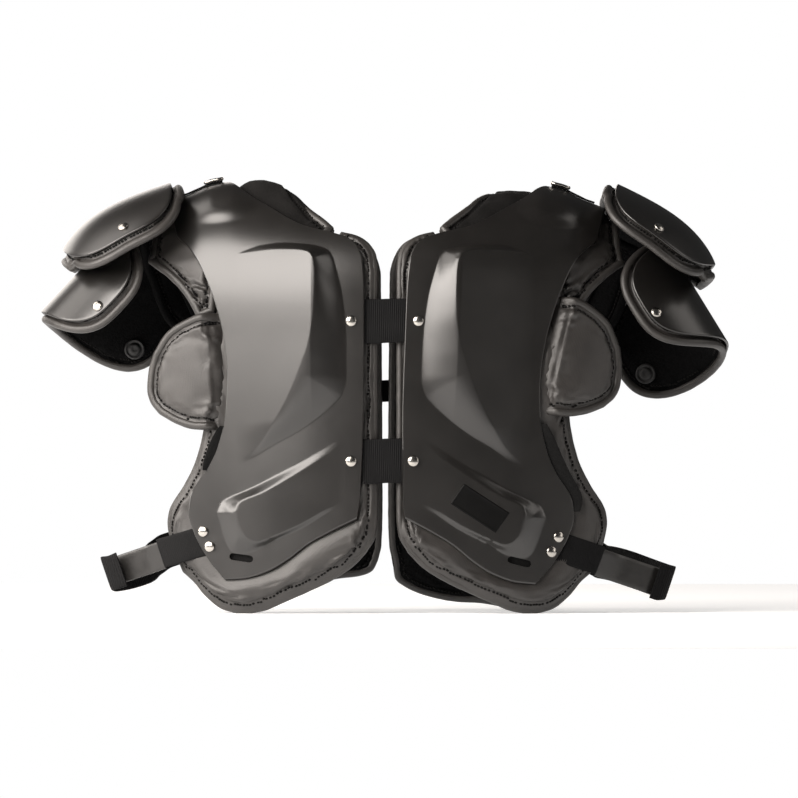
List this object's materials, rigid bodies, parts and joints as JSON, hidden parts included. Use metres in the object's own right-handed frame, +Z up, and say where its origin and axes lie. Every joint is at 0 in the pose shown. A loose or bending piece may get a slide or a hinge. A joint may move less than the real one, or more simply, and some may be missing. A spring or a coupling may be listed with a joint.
{
  "type": "shoulder pads",
  "caption": "Protective shoulder pads: two arched plastic halves with quilted pads, hinged epaulets, arm caps, side wings and elastic straps.",
  "frame": {"origin": "on the floor below the middle of the whole pair, which stands on its four lower pad edges", "axes": "+Z up, the chest side faces -Y, +X to the right as seen from the chest side, along the shoulders"},
  "size_m": [0.5956, 0.2437, 0.3722],
  "materials": {
    "shell_plastic": "satin moulded plastic",
    "pad_fabric": "satin nylon over foam",
    "collar_fabric": "brushed matte fabric",
    "webbing": "ribbed elastic webbing",
    "hook_plastic": "moulded black",
    "rivet_steel": "polished nickel"
  },
  "bodies": {
    "left_half": {"left_arch_shell": "shell_plastic", "left_front_pad": "pad_fabric", "left_back_pad": "pad_fabric", "left_shoulder_pad": "pad_fabric", "left_neck_pad": "collar_fabric", "left_epaulet_strap": "webbing", "left_epaulet_strap_ring": "rivet_steel", "left_side_strap": "webbing", "left_side_hook": "hook_plastic", "left_side_loop": "webbing", "left_strap_rivet_upper": "rivet_steel", "left_strap_rivet_lower": "rivet_steel", "left_link_rivet": "rivet_steel", "left_side_rivet_front_upper": "rivet_steel", "left_side_rivet_front_lower": "rivet_steel", "left_side_rivet_back_upper": "rivet_steel", "left_side_rivet_back_lower": "rivet_steel", "front_strap_upper": "webbing", "front_strap_lower": "webbing", "rear_link": "webbing"},
    "left_epaulet": {"left_epaulet_shell": "shell_plastic", "left_epaulet_pad": "pad_fabric", "left_epaulet_rivet_front": "rivet_steel", "left_epaulet_rivet_back": "rivet_steel"},
    "left_cap": {"left_cap_shell": "shell_plastic", "left_cap_pad": "pad_fabric", "left_cap_strap": "webbing", "left_cap_rivet_front": "rivet_steel", "left_cap_rivet_back": "rivet_steel", "left_cap_snap": "hook_plastic"},
    "left_wing": {"left_wing_pad": "pad_fabric"},
    "right_half": {"right_arch_shell": "shell_plastic", "right_front_pad": "pad_fabric", "right_back_pad": "pad_fabric", "right_shoulder_pad": "pad_fabric", "right_neck_pad": "collar_fabric", "right_epaulet_strap": "webbing", "right_epaulet_strap_ring": "rivet_steel", "right_side_strap": "webbing", "right_side_hook": "hook_plastic", "right_side_loop": "webbing", "right_strap_rivet_upper": "rivet_steel", "right_strap_rivet_lower": "rivet_steel", "right_link_rivet": "rivet_steel", "right_side_rivet_front_upper": "rivet_steel", "right_side_rivet_front_lower": "rivet_steel", "right_side_rivet_back_upper": "rivet_steel", "right_side_rivet_back_lower": "rivet_steel"},
    "right_epaulet": {"right_epaulet_shell": "shell_plastic", "right_epaulet_pad": "pad_fabric", "right_epaulet_rivet_front": "rivet_steel", "right_epaulet_rivet_back": "rivet_steel"},
    "right_cap": {"right_cap_shell": "shell_plastic", "right_cap_pad": "pad_fabric", "right_cap_strap": "webbing", "right_cap_rivet_front": "rivet_steel", "right_cap_rivet_back": "rivet_steel", "right_cap_snap": "hook_plastic"},
    "right_wing": {"right_wing_pad": "pad_fabric"}
  },
  "joints": [
    {"name": "spine_flex", "type": "hinge", "parent": "left_half", "child": "right_half", "pos_m": [0.001, 0.118, 0.19055], "axis": [0, 0, 1], "range_deg": [0, 8], "stiffness_Nm_per_rad": 2, "deforming": ["front_strap_upper", "front_strap_lower", "rear_link"]},
    {"name": "left_epaulet_lift", "type": "hinge", "parent": "left_half", "child": "left_epaulet", "pos_m": [-0.183, 0, 0.36655], "axis": [0, 1, 0], "range_deg": [0, 60]},
    {"name": "left_cap_swing", "type": "hinge", "parent": "left_epaulet", "child": "left_cap", "pos_m": [-0.225, 0, 0.33055], "axis": [0, 1, 0], "range_deg": [-4, 3]},
    {"name": "left_wing_fold", "type": "hinge", "parent": "left_half", "child": "left_wing", "pos_m": [-0.14291, -0.08596, 0.20727], "axis": [-0.0353, 0.0575, 0.9977], "range_deg": [0, 60]},
    {"name": "right_epaulet_lift", "type": "hinge", "parent": "right_half", "child": "right_epaulet", "pos_m": [0.1995, 0, 0.36525], "axis": [0, -1, 0], "range_deg": [0, 60]},
    {"name": "right_cap_swing", "type": "hinge", "parent": "right_epaulet", "child": "right_cap", "pos_m": [0.24251, 0.00315, 0.31573], "axis": [0, -1, 0], "range_deg": [-12, 3]},
    {"name": "right_wing_fold", "type": "hinge", "parent": "right_half", "child": "right_wing", "pos_m": [0.14592, -0.08495, 0.2205], "axis": [-0.1889, -0.1174, -0.975], "range_deg": [0, 60]}
  ]
}
